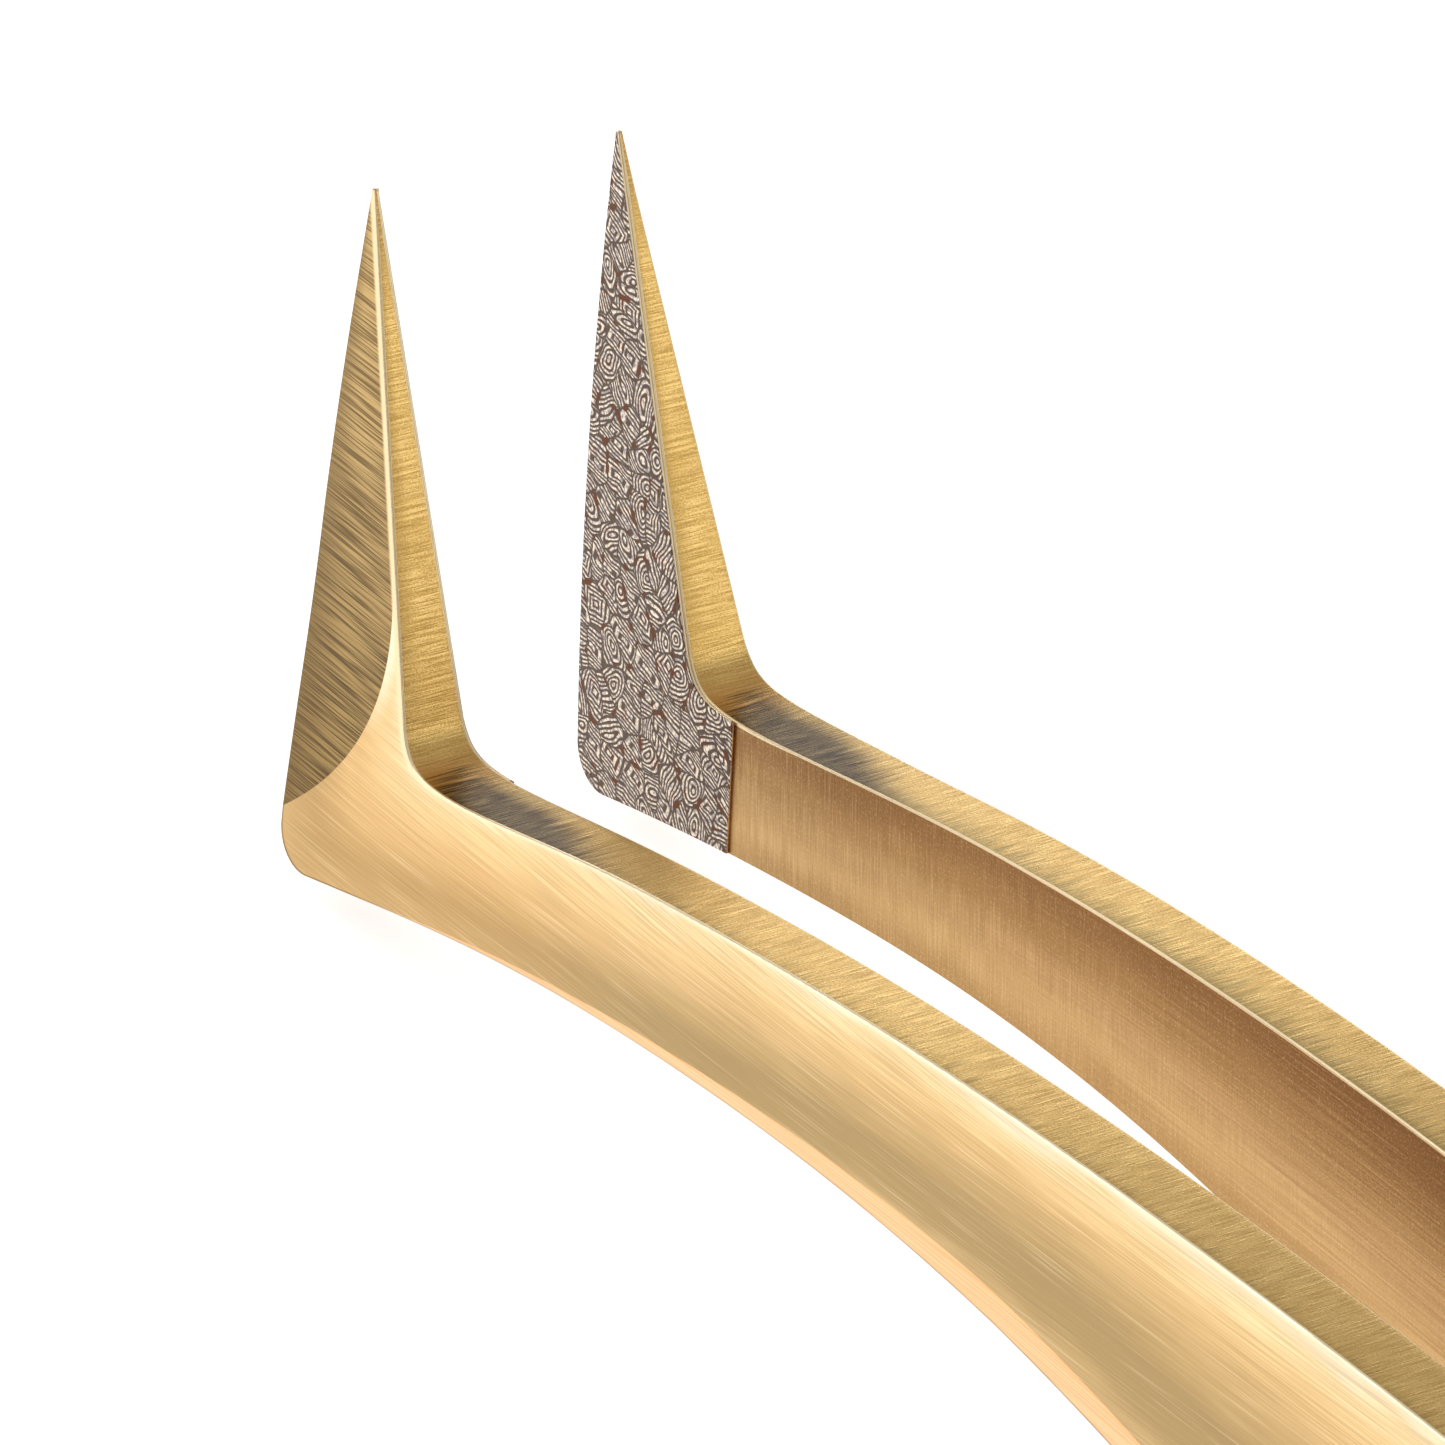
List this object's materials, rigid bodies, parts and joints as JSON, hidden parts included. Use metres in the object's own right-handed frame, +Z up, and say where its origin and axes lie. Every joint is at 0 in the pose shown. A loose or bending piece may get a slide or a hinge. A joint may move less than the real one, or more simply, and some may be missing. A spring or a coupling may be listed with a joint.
{
  "type": "angled-tip tweezers",
  "caption": "Spring tweezers with two mirrored flat arms, upturned pointed feet set square to the arms, and textured gripping faces inside the feet.",
  "frame": {"origin": "centre of the footprint on the surface the tweezers lie on", "axes": "+X from the feet to the welded rear end, +Y from the near arm to the far arm, +Z up towards the tips"},
  "size_m": [0.122, 0.0094, 0.0156],
  "materials": {
    "gold_steel_near_blade": "gold-coloured coating over fine lengthwise brushing",
    "gold_steel_near_tab": "gold-coloured coating over fine lengthwise brushing",
    "gold_steel_far_blade": "gold-coloured coating over fine lengthwise brushing",
    "gold_steel_far_tab": "gold-coloured coating over fine lengthwise brushing",
    "grip_texture_near": "raised bright maze lines on a dark red-brown ground",
    "grip_texture_far": "raised bright maze lines on a dark red-brown ground"
  },
  "bodies": {
    "welded_rear": {"arm_near_tab": "gold_steel_near_tab", "arm_far_tab": "gold_steel_far_tab"},
    "near_blade": {"arm_near_blade": "gold_steel_near_blade", "grip_lining_near": "grip_texture_near"},
    "far_blade": {"arm_far_blade": "gold_steel_far_blade", "grip_lining_far": "grip_texture_far"}
  },
  "joints": [
    {"name": "near_flex", "type": "hinge", "parent": "welded_rear", "child": "near_blade", "pos_m": [0.0282, -0.0009, 0.0045], "axis": [0, 0, -1], "range_deg": [0, 1.87], "stiffness_Nm_per_rad": 3},
    {"name": "far_flex", "type": "hinge", "parent": "welded_rear", "child": "far_blade", "pos_m": [0.0282, 0.0009, 0.0045], "axis": [0, 0, -1], "range_deg": [-1.87, 0], "stiffness_Nm_per_rad": 3}
  ],
  "couplings": [
    {"joint": "far_flex", "follows": "near_flex", "ratio": -1}
  ]
}
